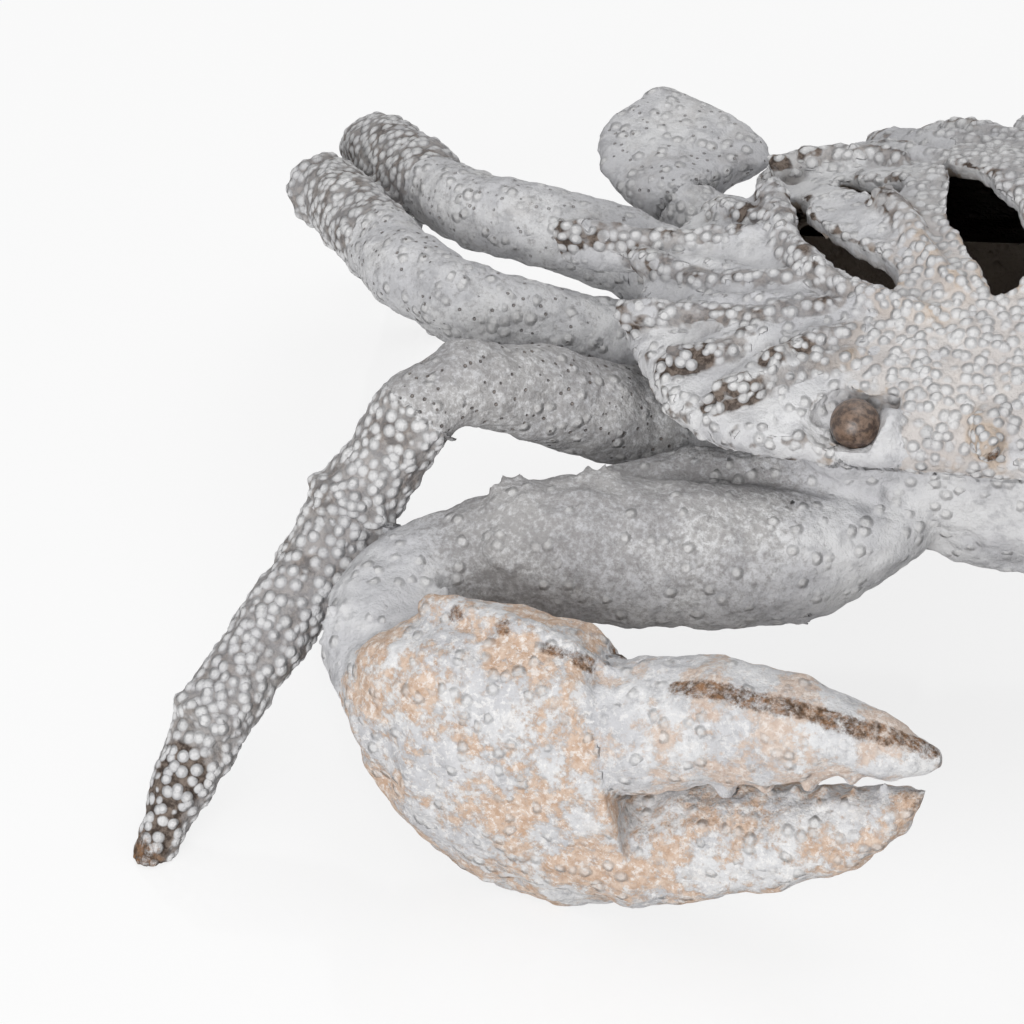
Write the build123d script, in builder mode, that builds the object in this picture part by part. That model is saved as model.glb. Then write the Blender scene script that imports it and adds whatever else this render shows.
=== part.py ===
"""Crab figurine: a hollow, openwork resin crab that stands on eight feet and two claws.

The body is an upper shell on a belly bowl. Every limb is cast by itself and seats
face to face on the next one, over a short steel wire pin that runs through the seam.
Frame: +Z up from the table, the crab faces -Y, X is its width, and the origin is on
the table at the middle of the figure. All sizes are millimetres.
"""

import os

from build123d import *

# Driving sizes of the body
rim_height = 68.0
shell_half_width = 84.0
shell_front = 34.0
shell_rear = 68.0
crown_rise = 18.0
rim_depth = 3.0
shell_wall = 3.6
front_wall = 9.0
belly_depth = 31.0
belly_inset = 2.4
belly_wall = 3.4
cut_overrun = 4.0

# Teeth and ribs that run along the shell's edge
tooth_radius = 3.7

# Eyes
eye_radius = 4.3
eye_seat_radius = 3.0
stalk_radius = 3.5
stalk_length = 7.5
eye_out = 37.0
eye_ahead = 33.0
eye_height = 68.6
socket_radius = 6.2
socket_length = 9.0

# Limbs: how far the foot or joint lies from the origin, and how thick the limb is
front_leg_reach = 144.5
front_leg_sweep = 93.0
front_leg_height = 66.0
front_leg_radius = 9.4
middle_leg_reach = 158.0
middle_leg_sweep = 72.0
middle_leg_height = 61.0
middle_leg_radius = 8.4
rear_leg_reach = 152.0
rear_leg_sweep = 92.0
rear_leg_height = 63.0
rear_leg_radius = 8.2
swim_leg_reach = 87.0
swim_leg_sweep = 70.0
swim_leg_height = 66.0
swim_leg_radius = 8.0
paddle_half_width = 16.0
paddle_half_thickness = 3.6
arm_reach = 110.0
arm_sweep = 84.0
arm_height = 44.0
arm_radius = 13.0

# Claws
palm_half_height = 26.0
palm_half_thickness = 13.2
palm_height = 25.6
palm_ahead = 84.5
claw_reach = 100.0
hinge_tilt = 15
claw_tooth_radius = 1.7
palm_spine_radius = 2.6

# Pins
pin_radius = 1.0
pin_half_length = 6.5
pin_clearance = 0.1

# How finely the castings are faceted
limb_sides = 16
tooth_sides = 8
spine_sides = 6
pin_sides = 8
slot_sides = 26
dome_steps = 12
bead_steps = 9
bead_tip_share = 0.35
spans_per_segment = 6

# Shell stations: share of the length from the front, share of the half width, share of the rise
shell_shares = [
    (0.00, 0.67, 0.12),
    (0.04, 0.79, 0.27),
    (0.10, 0.86, 0.45),
    (0.18, 0.92, 0.64),
    (0.32, 0.97, 0.86),
    (0.45, 1.00, 0.97),
    (0.58, 0.93, 1.00),
    (0.70, 0.80, 0.90),
    (0.82, 0.69, 0.68),
    (0.92, 0.60, 0.42),
    (1.00, 0.42, 0.14),
]

# Belly stations: share of the length, share of the half width, share of the depth, and the
# share of the half width that its lip reaches under the shell's edge
belly_shares = [
    (0.00, 0.44, 0.55, 0.65),
    (0.05, 0.62, 0.88, 0.79),
    (0.16, 0.80, 0.99, 0.89),
    (0.32, 0.92, 1.00, 0.95),
    (0.48, 0.97, 1.00, 0.97),
    (0.64, 0.80, 0.97, 0.84),
    (0.80, 0.62, 0.84, 0.68),
    (0.93, 0.50, 0.52, 0.56),
    (1.00, 0.34, 0.20, 0.38),
]
belly_profile_shares = [
    (0.96, 0.22),
    (0.89, 0.44),
    (0.77, 0.66),
    (0.58, 0.85),
    (0.32, 0.97),
]

# Teeth: tip and root, each as shares of the half width and of the front or rear length,
# then the share of the tooth radius
tooth_shares = [
    ((0.155, -1.070), (0.160, -0.790), 0.60),
    ((0.718, -0.910), (0.600, -0.600), 1.05),
    ((0.640, -0.574), (0.495, -0.460), 0.75),
    ((0.848, -0.640), (0.600, -0.430), 1.00),
    ((0.976, -0.340), (0.560, -0.230), 1.00),
    ((0.965, 0.090), (0.713, -0.010), 0.80),
    ((1.180, 0.160), (0.740, 0.172), 1.10),
    ((0.920, 0.434), (0.750, 0.300), 0.85),
    ((0.793, 0.535), (0.742, 0.190), 1.00),
    ((0.842, 0.603), (0.570, 0.600), 1.15),
    ((0.714, 0.776), (0.430, 0.600), 1.10),
    ((0.640, 0.876), (0.345, 0.690), 1.10),
    ((0.540, 0.947), (0.260, 0.770), 1.00),
    ((0.333, 1.050), (0.170, 0.850), 1.10),
]
tooth_girth_shares = [(0.00, 0.50), (0.14, 0.96), (0.50, 1.00), (0.78, 0.80), (1.00, 0.40)]
tooth_sunk_share = 0.28

# Openwork slots in the shell: outlines as shares of the half width and of the rear length
leaf_slot_shares = [
    (0.735, 0.375),
    (0.692, 0.215),
    (0.600, 0.045),
    (0.490, -0.060),
    (0.420, -0.088),
    (0.440, -0.010),
    (0.515, 0.075),
    (0.600, 0.150),
    (0.675, 0.265),
    (0.715, 0.370),
]
slit_slot_shares = [
    (0.655, 0.470),
    (0.575, 0.362),
    (0.498, 0.325),
    (0.490, 0.392),
    (0.565, 0.430),
    (0.640, 0.500),
]
drop_slot_shares = [
    (0.475, 0.555),
    (0.392, 0.400),
    (0.360, 0.190),
    (0.315, 0.090),
    (0.250, -0.050),
    (0.208, -0.105),
    (0.180, -0.060),
    (0.172, 0.040),
    (0.188, 0.160),
    (0.232, 0.280),
    (0.308, 0.410),
    (0.400, 0.510),
]

# Limb paths: shares of the reach, of the sweep and of the height, from the body to the foot
front_leg_path_shares = [
    (0.330, -0.040, 0.700),
    (0.545, -0.140, 0.742),
    (0.625, -0.235, 0.860),
    (0.692, -0.308, 0.945),
    (0.747, -0.380, 0.985),
    (0.782, -0.436, 0.910),
    (0.816, -0.472, 0.788),
    (0.842, -0.505, 0.667),
    (0.880, -0.608, 0.530),
    (0.921, -0.722, 0.394),
    (0.953, -0.822, 0.285),
    (0.979, -0.920, 0.136),
    (1.008, -1.025, -0.055),
]
middle_leg_path_shares = [
    (0.320, 0.060, 0.750),
    (0.525, 0.090, 0.820),
    (0.590, 0.050, 0.875),
    (0.655, 0.000, 0.940),
    (0.735, -0.010, 0.990),
    (0.812, 0.125, 0.980),
    (0.910, 0.430, 0.890),
    (0.981, 0.695, 0.770),
    (1.000, 0.835, 0.640),
    (0.975, 0.930, 0.440),
    (0.930, 1.015, 0.230),
    (0.875, 1.110, -0.050),
]
rear_leg_path_shares = [
    (0.330, 0.200, 0.760),
    (0.500, 0.240, 0.870),
    (0.640, 0.260, 0.968),
    (0.722, 0.252, 1.000),
    (0.794, 0.300, 0.980),
    (0.885, 0.470, 0.900),
    (0.980, 0.713, 0.765),
    (1.013, 0.830, 0.630),
    (1.020, 0.905, 0.440),
    (1.007, 0.980, 0.220),
    (0.995, 1.045, -0.050),
]
swim_leg_path_shares = [
    (0.430, 0.557, 0.690),
    (0.630, 0.590, 0.745),
    (0.800, 0.590, 0.820),
    (0.935, 0.580, 0.880),
    (1.000, 0.665, 0.925),
    (1.030, 0.830, 0.970),
    (1.095, 1.045, 0.985),
]
arm_path_shares = [
    (0.235, -0.300, 1.120),
    (0.430, -0.452, 0.980),
    (0.555, -0.500, 0.982),
    (0.705, -0.548, 1.000),
    (0.828, -0.580, 0.985),
    (0.925, -0.628, 0.910),
    (0.985, -0.715, 0.870),
    (0.990, -0.820, 0.830),
    (0.955, -0.905, 0.800),
]

# Limb girths: share of the path and share of the limb's radius
front_leg_girth_shares = [
    (0.00, 0.84),
    (0.17, 0.90),
    (0.28, 0.94),
    (0.40, 0.82),
    (0.47, 0.77),
    (0.58, 0.82),
    (0.63, 0.76),
    (0.78, 0.77),
    (0.86, 0.68),
    (0.93, 0.53),
    (1.00, 0.28),
]
middle_leg_girth_shares = [
    (0.00, 0.95),
    (0.20, 0.95),
    (0.36, 0.88),
    (0.45, 0.86),
    (0.58, 0.86),
    (0.68, 0.74),
    (0.80, 0.64),
    (0.92, 0.48),
    (1.00, 0.30),
]
rear_leg_girth_shares = [
    (0.00, 0.92),
    (0.20, 0.95),
    (0.38, 0.88),
    (0.46, 0.86),
    (0.60, 0.86),
    (0.70, 0.74),
    (0.80, 0.62),
    (0.92, 0.46),
    (1.00, 0.30),
]
swim_leg_girth_shares = [(0.00, 0.95), (0.30, 0.95), (0.45, 0.84), (0.60, 0.74)]
arm_girth_shares = [
    (0.00, 0.42),
    (0.12, 0.72),
    (0.22, 0.92),
    (0.40, 1.00),
    (0.60, 0.99),
    (0.70, 0.80),
    (0.80, 0.80),
    (0.92, 0.84),
    (1.00, 0.86),
]

# Where each limb's castings meet, as shares of its path
front_leg_seam_shares = (0.17, 0.46)
middle_leg_seam_shares = (0.22, 0.47)
rear_leg_seam_shares = (0.22, 0.46)
swim_leg_seam_shares = (0.42, 0.60)
arm_seam_shares = (0.22, 0.70)

# Paddle: share of its path, shares of the half width towards the body and away from it,
# share of the half thickness
paddle_shares = [
    (0.00, 0.46, 0.46, 1.80),
    (0.10, 0.78, 0.66, 1.55),
    (0.22, 1.12, 0.84, 1.25),
    (0.36, 1.17, 0.91, 1.05),
    (0.50, 1.06, 0.90, 1.00),
    (0.64, 0.70, 0.74, 0.92),
    (0.80, 0.20, 0.47, 0.80),
    (0.93, -0.02, 0.22, 0.55),
]

# Palm and fingers: shares of the claw's reach, the palm's forward place, the palm's height,
# the palm's half thickness and its half height
palm_shares = [
    (1.010, 0.947, 1.190, 0.89, 0.710),
    (0.945, 0.976, 1.113, 0.97, 0.885),
    (0.840, 0.994, 1.045, 1.00, 0.990),
    (0.720, 1.003, 1.008, 1.00, 1.003),
    (0.620, 1.010, 1.060, 0.95, 0.895),
]
palm_turns = [-30, -15, 0, 0, 0]
palm_profile_shares = [
    (1.00, 0.05),
    (1.00, 0.42),
    (0.93, 0.76),
    (0.68, 0.97),
    (0.28, 1.02),
    (-0.22, 1.02),
    (-0.62, 0.93),
    (-0.88, 0.64),
    (-0.99, 0.24),
    (-0.99, -0.16),
    (-0.87, -0.52),
    (-0.62, -0.80),
    (-0.27, -1.00),
    (0.24, -1.00),
    (0.62, -0.80),
    (0.90, -0.42),
]
fixed_finger_shares = [
    (0.740, 1.000, 0.730, 0.80, 0.480),
    (0.600, 1.010, 0.530, 0.84, 0.436),
    (0.480, 1.018, 0.715, 0.74, 0.420),
    (0.340, 1.030, 0.865, 0.62, 0.355),
    (0.220, 1.040, 1.060, 0.50, 0.270),
    (0.150, 1.044, 1.280, 0.32, 0.165),
    (0.115, 1.046, 1.440, 0.09, 0.045),
]
moving_finger_shares = [
    (0.645, 1.008, 1.460, 0.86, 0.460),
    (0.480, 1.014, 1.660, 0.80, 0.435),
    (0.330, 1.030, 1.745, 0.64, 0.330),
    (0.180, 1.042, 1.725, 0.38, 0.195),
    (0.093, 1.046, 1.690, 0.08, 0.045),
]

# Teeth along the fixed finger and spines along the top of the palm: shares of the claw's
# reach, the palm's forward place and the palm's height
claw_tooth_shares = [
    (0.440, 1.022, 1.168),
    (0.390, 1.026, 1.195),
    (0.340, 1.030, 1.226),
    (0.290, 1.034, 1.270),
    (0.240, 1.038, 1.320),
    (0.190, 1.042, 1.383),
]
palm_spine_shares = [(0.924, 0.973, 1.990), (0.838, 1.005, 2.040), (0.721, 1.018, 2.020)]
spine_tip_share = 0.35


def mix(table, share, column):
    """Value of one column of a table of shares, read between its rows."""
    for low, high in zip(table, table[1:]):
        if share <= high[0]:
            part = (share - low[0]) / (high[0] - low[0])
            return low[column] + (high[column] - low[column]) * part
    return table[-1][column]


def dome_point(across_share, along_share, sunk):
    """A point sunk into the dome, from shares of the half width and of the length."""
    x = across_share * shell_half_width
    y = along_share * (shell_rear if along_share > 0 else shell_front)
    station = min(max((y + shell_front) / (shell_front + shell_rear), 0), 1)
    half_width = shell_half_width * mix(shell_shares, station, 1)
    rise = crown_rise * mix(shell_shares, station, 2)
    return Vector(-x, y, rim_height - sunk + rise * max(0, 1 - (x / half_width) ** 2))


def faceted(rings):
    """A solid with flat facets from ring to ring of corners, closed by its end rings."""
    facets = [Face(Wire.make_polygon(rings[0])), Face(Wire.make_polygon(rings[-1]))]
    for near, far in zip(rings, rings[1:]):
        for side in range(len(near)):
            facets.append(Face(Wire.make_polygon([near[side - 1], near[side], far[side]])))
            facets.append(Face(Wire.make_polygon([near[side - 1], far[side], far[side - 1]])))
    return Solid(Shell(facets))


def shell_form():
    """The domed loaf of the upper shell before it is hollowed."""
    length = shell_front + shell_rear
    rings = []
    for share, width_share, rise_share in shell_shares:
        half_width = shell_half_width * width_share
        y = share * length - shell_front
        ring = [Vector(half_width, y, rim_height - rim_depth)]
        for step in range(dome_steps + 1):
            across = 1 - 2 * step / dome_steps
            rise = crown_rise * rise_share * (1 - across**2)
            ring.append(Vector(half_width * across, y, rim_height + rise))
        rings.append([*ring, Vector(-half_width, y, rim_height - rim_depth)])
    return faceted(rings)


def shell_space():
    """The space under the upper shell, one wall inside it and open below."""
    length = shell_front + shell_rear - front_wall - shell_wall
    floor = rim_height - rim_depth - cut_overrun
    shoulder = rim_height - shell_wall / 2
    rings = []
    for share, width_share, rise_share in shell_shares:
        half_width = shell_half_width * width_share - shell_wall
        y = share * length + front_wall - shell_front
        crown = max(crown_rise * rise_share - shell_wall / 2, shell_wall / 2)
        ring = [Vector(half_width, y, floor)]
        for step in range(dome_steps + 1):
            across = 1 - 2 * step / dome_steps
            ring.append(Vector(half_width * across, y, shoulder + crown * (1 - across**2)))
        rings.append([*ring, Vector(-half_width, y, floor)])
    return faceted(rings)


def belly_form(inset, overrun, edge_column):
    """The bowl under the shell, or with an inset and an overrun the space inside it.

    Its top edge takes its width from the given column, which is the lip's or the bowl's.
    """
    top = rim_height - rim_depth
    length = shell_front + shell_rear - 2 * belly_inset - 2 * inset
    rings = []
    for row in belly_shares:
        half_width = shell_half_width * row[1] - inset
        edge = shell_half_width * row[edge_column] - inset
        depth = belly_depth * row[2] - inset
        y = row[0] * length + belly_inset + inset - shell_front
        side = [(edge, top + overrun)]
        side += [(half_width * w, top - depth * d) for w, d in belly_profile_shares]
        other_side = [(-x, z) for x, z in reversed(side)]
        rings.append([Vector(x, y, z) for x, z in [*side, (0, top - depth), *other_side]])
    return faceted(rings)


def limb_path(shares, reach, sweep, height):
    """The centre line of a limb, on the crab's right side."""
    points = [(-x * reach, y * sweep, z * height) for x, y, z in shares]
    with BuildLine() as line:
        Spline(*points)
    return line.line


def ring_plane(path, share):
    """The plane square to a limb at a share of its path, level along its own X."""
    run = path % share
    return Plane(origin=path @ share, x_dir=(-run.Y, run.X, 0), z_dir=run)


def ring_corners(plane, across, height, sides):
    """Corners of a round or oval ring on a plane."""
    turns = [Vector(1, 0).rotate(Axis.Z, 360 * side / sides) for side in range(sides)]
    return [plane.from_local_coords(Vector(turn.X * across, turn.Y * height)) for turn in turns]


def limb_rings(path, girths, radius, seams):
    """The rings of a limb, with the same number of spans between its seams.

    Each ring is the one before it, slid along the limb onto the next plane and resized
    there, so the facets don't twist where the limb bends.
    """
    girth = radius * mix(girths, 0, 1)
    plane = ring_plane(path, 0)
    rings = [ring_corners(plane, girth, girth, limb_sides)]
    stops = [0, *seams, 1]
    for start, end in zip(stops, stops[1:]):
        for span in range(spans_per_segment):
            share = start + (end - start) * (span + 1) / spans_per_segment
            run = path @ share - plane.origin
            plane = ring_plane(path, share)
            growth = radius * mix(girths, share, 1) / girth
            girth = girth * growth
            ring = []
            for corner in rings[-1]:
                distance = (plane.origin - corner).dot(plane.z_dir) / run.dot(plane.z_dir)
                ring.append(plane.origin + (corner + run * distance - plane.origin) * growth)
            rings.append(ring)
    return rings


def limb_segment(rings, number):
    """One casting of a limb: its rings from one seam to the next."""
    first = number * spans_per_segment
    return faceted(rings[first : first + spans_per_segment + 1])


def paddle_form(path, start):
    """The flat blade at the end of a swimming leg, which comes to a corner at the back."""
    rings = []
    for share, inner_share, outer_share, thick_share in paddle_shares:
        plane = ring_plane(path, start + (1 - start) * share)
        half_width = paddle_half_width * (inner_share + outer_share) / 2
        half_thickness = paddle_half_thickness * thick_share
        middle = paddle_half_width * (outer_share - inner_share) / 2
        plane.origin = plane.from_local_coords(Vector(middle, 0))
        rings.append(ring_corners(plane, half_width, half_thickness, limb_sides))
    return faceted(rings)


def claw_plane(out, ahead, up, tilt=0, turn=0):
    """An upright plane across the claw, which may lean or be turned to the wrist."""
    facing = Vector(1, 0, 0).rotate(Axis.Y, -tilt).rotate(Axis.Z, turn)
    level = Vector(0, 1, 0).rotate(Axis.Z, turn)
    origin = (-out * claw_reach, -ahead * palm_ahead, up * palm_height)
    return Plane(origin=origin, x_dir=level, z_dir=facing)


def palm_form(wrist_ring):
    """The palm: a boxy oval that grows from the wrist and ends at the hinge."""
    rings = [wrist_ring]
    for row, (out, ahead, up, thick, tall) in enumerate(palm_shares):
        tilt = hinge_tilt if row == len(palm_shares) - 1 else 0
        plane = claw_plane(out, ahead, up, tilt, palm_turns[row])
        across = thick * palm_half_thickness
        height = tall * palm_half_height
        corners = [Vector(a * across, b * height) for a, b in palm_profile_shares]
        rings.append([plane.from_local_coords(corner) for corner in corners])
    return faceted(rings)


def finger_form(table, first_tilt):
    """A finger: oval rings from the palm to a blunt point."""
    rings = []
    for row, (out, ahead, up, thick, tall) in enumerate(table):
        plane = claw_plane(out, ahead, up, first_tilt if row == 0 else 0)
        across = thick * palm_half_thickness
        height = tall * palm_half_height
        rings.append(ring_corners(plane, across, height, limb_sides))
    return faceted(rings)


def spine(place_shares, radius):
    """A blunt upright spine on the claw, sunk into it by its own radius."""
    place = claw_plane(*place_shares).origin
    foot = ring_corners(Plane(place - Vector(0, 0, radius)), radius, radius, spine_sides)
    tip_radius = radius * spine_tip_share
    tip = ring_corners(Plane(place + Vector(0, 0, radius)), tip_radius, tip_radius, spine_sides)
    return faceted([foot, tip])


def tooth(tip_shares, root_shares, girth_share):
    """A tooth on the rim with the ridge that runs back from it over the dome."""
    radius = tooth_radius * girth_share
    points = []
    for share, _ in tooth_girth_shares:
        across = tip_shares[0] + (root_shares[0] - tip_shares[0]) * share
        along = tip_shares[1] + (root_shares[1] - tip_shares[1]) * share
        points.append(dome_point(across, along, radius * tooth_sunk_share))
    with BuildLine() as line:
        Spline(*points)
    rings = []
    for share, share_of_girth in tooth_girth_shares:
        plane = Plane(origin=line.line @ share, x_dir=(0, 0, 1), z_dir=line.line % share)
        girth = radius * share_of_girth
        rings.append(ring_corners(plane, girth, girth, tooth_sides))
    return faceted(rings)


def eye_plane(inward):
    """The upright plane across an eye at a distance inward from the middle of its bead."""
    return Plane(origin=(inward - eye_out, -eye_ahead, eye_height), x_dir=(0, 1, 0), z_dir=(1, 0, 0))


def slot_cutter(outline_shares):
    """An upright cutter with the outline of one slot."""
    points = [(-x * shell_half_width, y * shell_rear) for x, y in outline_shares]
    with BuildLine() as curve:
        Spline(*points, periodic=True)
    with BuildPart() as cutter:
        with BuildSketch(Plane.XY.offset(rim_height - rim_depth - cut_overrun)):
            with BuildLine():
                Polyline(*[curve.line @ (side / slot_sides) for side in range(slot_sides)], close=True)
            make_face()
        extrude(amount=crown_rise + rim_depth + 2 * cut_overrun)
    return cutter.part


def pin_at(plane, radius):
    """A wire pin, or the hole for it, centred on a seam and square to it."""
    with BuildPart() as pin:
        with BuildSketch(plane.offset(-pin_half_length)):
            RegularPolygon(radius, pin_sides)
        extrude(amount=2 * pin_half_length)
    return pin.part


def drill(part, planes):
    """A casting with the pin holes of its seams."""
    with BuildPart() as drilled:
        add(part)
        for plane in planes:
            add(pin_at(plane, pin_radius + pin_clearance), mode=Mode.SUBTRACT)
    return drilled.part


def stand_flat(part):
    """A foot or a palm cut off level with the table."""
    with BuildPart() as standing:
        add(part)
        split(bisect_by=Plane.XY, keep=Keep.TOP)
    return standing.part


def save(part, name):
    """Label a piece and write its file."""
    part.label = name
    export_step(part, f"parts/{name}.step")


def save_pair(part, name):
    """Write a right piece and its mirror image on the left."""
    save(part, name + "_right")
    with BuildPart() as left:
        mirror(part, about=Plane.YZ)
    save(left.part, name + "_left")


os.makedirs("parts", exist_ok=True)

# Rings of every limb, from inside the body to the foot, the paddle or the palm
front_path = limb_path(front_leg_path_shares, front_leg_reach, front_leg_sweep, front_leg_height)
middle_path = limb_path(
    middle_leg_path_shares, middle_leg_reach, middle_leg_sweep, middle_leg_height
)
rear_path = limb_path(rear_leg_path_shares, rear_leg_reach, rear_leg_sweep, rear_leg_height)
swim_path = limb_path(swim_leg_path_shares, swim_leg_reach, swim_leg_sweep, swim_leg_height)
arm_path = limb_path(arm_path_shares, arm_reach, arm_sweep, arm_height)
front_rings = limb_rings(
    front_path, front_leg_girth_shares, front_leg_radius, front_leg_seam_shares
)
middle_rings = limb_rings(
    middle_path, middle_leg_girth_shares, middle_leg_radius, middle_leg_seam_shares
)
rear_rings = limb_rings(rear_path, rear_leg_girth_shares, rear_leg_radius, rear_leg_seam_shares)
swim_rings = limb_rings(swim_path, swim_leg_girth_shares, swim_leg_radius, swim_leg_seam_shares)
arm_rings = limb_rings(arm_path, arm_girth_shares, arm_radius, arm_seam_shares)
limbs = [
    (front_rings, ring_plane(front_path, front_leg_seam_shares[0])),
    (middle_rings, ring_plane(middle_path, middle_leg_seam_shares[0])),
    (rear_rings, ring_plane(rear_path, rear_leg_seam_shares[0])),
    (swim_rings, ring_plane(swim_path, swim_leg_seam_shares[0])),
    (arm_rings, ring_plane(arm_path, arm_seam_shares[0])),
]
front_root, middle_root, rear_root, swim_root, arm_root = [root for _, root in limbs]

# Walking legs: an upper and a lower casting each, pinned at the body and at the knee
front_knee = ring_plane(front_path, front_leg_seam_shares[1])
middle_knee = ring_plane(middle_path, middle_leg_seam_shares[1])
rear_knee = ring_plane(rear_path, rear_leg_seam_shares[1])
for name, rings, root, knee in [
    ("front_leg", front_rings, front_root, front_knee),
    ("middle_leg", middle_rings, middle_root, middle_knee),
    ("rear_leg", rear_rings, rear_root, rear_knee),
]:
    save_pair(drill(limb_segment(rings, 1), [root, knee]), name + "_upper")
    save_pair(drill(stand_flat(limb_segment(rings, 2)), [knee]), name + "_lower")

# Swimming leg: a short limb that ends in the flat paddle
swim_knee = ring_plane(swim_path, swim_leg_seam_shares[1])
save_pair(drill(limb_segment(swim_rings, 1), [swim_root, swim_knee]), "swim_leg_upper")
save_pair(drill(paddle_form(swim_path, swim_leg_seam_shares[1]), [swim_knee]), "swim_paddle")

# Claw arm, wrist and palm
wrist_seam = ring_plane(arm_path, arm_seam_shares[1])
palm_seam = ring_plane(arm_path, 1)
save_pair(drill(limb_segment(arm_rings, 1), [arm_root, wrist_seam]), "claw_arm")
save_pair(drill(limb_segment(arm_rings, 2), [wrist_seam, palm_seam]), "claw_wrist")

# The moving finger seats on the palm's leaning end face
seat_out, seat_ahead, seat_up, _, _ = moving_finger_shares[0]
finger_seam = claw_plane(seat_out, seat_ahead, seat_up, hinge_tilt)
with BuildPart() as palm:
    add(palm_form(arm_rings[-1]))
    add(finger_form(fixed_finger_shares, 0))
    add([spine(row, claw_tooth_radius) for row in claw_tooth_shares])
    add([spine(row, palm_spine_radius) for row in palm_spine_shares])
finger = finger_form(moving_finger_shares, hinge_tilt)
save_pair(drill(stand_flat(palm.part), [palm_seam, finger_seam]), "claw_palm")
save_pair(drill(finger, [finger_seam]), "claw_finger")

# Upper shell: dome, teeth and ribs, hollowed, then cut through by the slots
with BuildPart() as sockets:
    for side in (-1, 1):
        socket_start = side * (eye_out - stalk_length)
        with BuildSketch(Plane.YZ.offset(socket_start)):
            with Locations((-eye_ahead, eye_height)):
                Circle(socket_radius)
        extrude(amount=side * socket_length)
        with Locations((socket_start + side * socket_length, -eye_ahead, eye_height)):
            Sphere(socket_radius)
spikes = [tooth(*row) for row in tooth_shares]
cutters = [slot_cutter(row) for row in (leaf_slot_shares, slit_slot_shares, drop_slot_shares)]
with BuildPart() as shell:
    add(shell_form())
    add(spikes)
    mirror(spikes, about=Plane.YZ)
    add(shell_space(), mode=Mode.SUBTRACT)
    add(cutters, mode=Mode.SUBTRACT)
    mirror(cutters, about=Plane.YZ, mode=Mode.SUBTRACT)
    add(sockets.part, mode=Mode.SUBTRACT)
save(shell.part, "carapace")

# Belly bowl with the stubs that the limbs seat on, fitted under the shell
stubs = [limb_segment(rings, 0) for rings, _ in limbs]
root_holes = [pin_at(plane, pin_radius + pin_clearance) for _, plane in limbs]
with BuildPart() as belly:
    add(belly_form(0, 0, 3))
    add(stubs)
    mirror(stubs, about=Plane.YZ)
    add(belly_form(belly_wall, cut_overrun, 1), mode=Mode.SUBTRACT)
    add(root_holes, mode=Mode.SUBTRACT)
    mirror(root_holes, about=Plane.YZ, mode=Mode.SUBTRACT)
    add([sockets.part, shell.part], mode=Mode.SUBTRACT)
save(belly.part, "underbody")

# Eye stalk that stands out sideways from the socket, with the bead on its end
bead_seat = (eye_radius**2 - eye_seat_radius**2) ** 0.5
bead_run = eye_radius + bead_seat
bead_rings = []
for step in range(bead_steps + 1):
    along = bead_seat - bead_run * step / (bead_steps + bead_tip_share)
    girth = (eye_radius**2 - along**2) ** 0.5
    bead_rings.append(ring_corners(eye_plane(along), girth, girth, limb_sides))
stalk_foot = ring_corners(eye_plane(stalk_length), stalk_radius, stalk_radius, limb_sides)
save_pair(faceted([stalk_foot, bead_rings[0]]), "eye_stalk")
save_pair(faceted(bead_rings), "eye_bead")

# Steel wire pins through the seams of both sides
with BuildPart() as leg_pins:
    for plane in (
        front_root,
        front_knee,
        middle_root,
        middle_knee,
        rear_root,
        rear_knee,
        swim_root,
        swim_knee,
    ):
        wire = pin_at(plane, pin_radius)
        add(wire)
        mirror(wire, about=Plane.YZ)
save(leg_pins.part, "leg_pins")
with BuildPart() as claw_pins:
    for plane in (arm_root, wrist_seam, palm_seam, finger_seam):
        wire = pin_at(plane, pin_radius)
        add(wire)
        mirror(wire, about=Plane.YZ)
save(claw_pins.part, "claw_pins")
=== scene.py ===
# %% [markdown]
# # A whitewashed resin crab
# The crab is a hollow polyresin figurine: castings glued over short wire pins, stained
# brown, dry brushed with a white wash and rubbed back by hand. The solids of the model are
# loaded first. They give every place and size in metres, and nothing here changes them.

# %% Load the solids
import math

import bpy
import numpy as np
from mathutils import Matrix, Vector
from mathutils.bvhtree import BVHTree


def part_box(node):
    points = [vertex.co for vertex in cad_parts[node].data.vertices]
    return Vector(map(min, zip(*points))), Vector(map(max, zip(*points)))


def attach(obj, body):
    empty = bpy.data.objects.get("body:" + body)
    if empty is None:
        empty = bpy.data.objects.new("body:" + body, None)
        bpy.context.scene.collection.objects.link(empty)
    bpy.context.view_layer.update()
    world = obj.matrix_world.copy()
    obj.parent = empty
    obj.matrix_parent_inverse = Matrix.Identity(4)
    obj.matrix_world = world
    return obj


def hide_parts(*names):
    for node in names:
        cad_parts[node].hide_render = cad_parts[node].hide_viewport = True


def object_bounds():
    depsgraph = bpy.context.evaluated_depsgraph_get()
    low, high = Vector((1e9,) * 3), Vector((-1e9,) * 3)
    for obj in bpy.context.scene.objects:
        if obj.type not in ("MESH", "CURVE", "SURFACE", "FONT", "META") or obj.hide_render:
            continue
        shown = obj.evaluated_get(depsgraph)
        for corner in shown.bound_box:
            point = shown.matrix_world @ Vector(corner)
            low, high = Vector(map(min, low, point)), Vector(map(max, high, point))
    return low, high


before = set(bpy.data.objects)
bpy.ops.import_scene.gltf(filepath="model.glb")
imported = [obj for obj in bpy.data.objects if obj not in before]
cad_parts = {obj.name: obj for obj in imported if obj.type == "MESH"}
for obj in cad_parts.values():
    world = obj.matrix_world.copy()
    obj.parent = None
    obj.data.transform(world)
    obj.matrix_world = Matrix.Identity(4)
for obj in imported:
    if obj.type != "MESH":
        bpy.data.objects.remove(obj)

mm = 0.001
cad_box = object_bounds()
size_in_mm = [round((high - low) / mm, 1) for low, high in zip(*cad_box)]
print("solids:", len(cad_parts), "size in mm:", size_in_mm)

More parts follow.
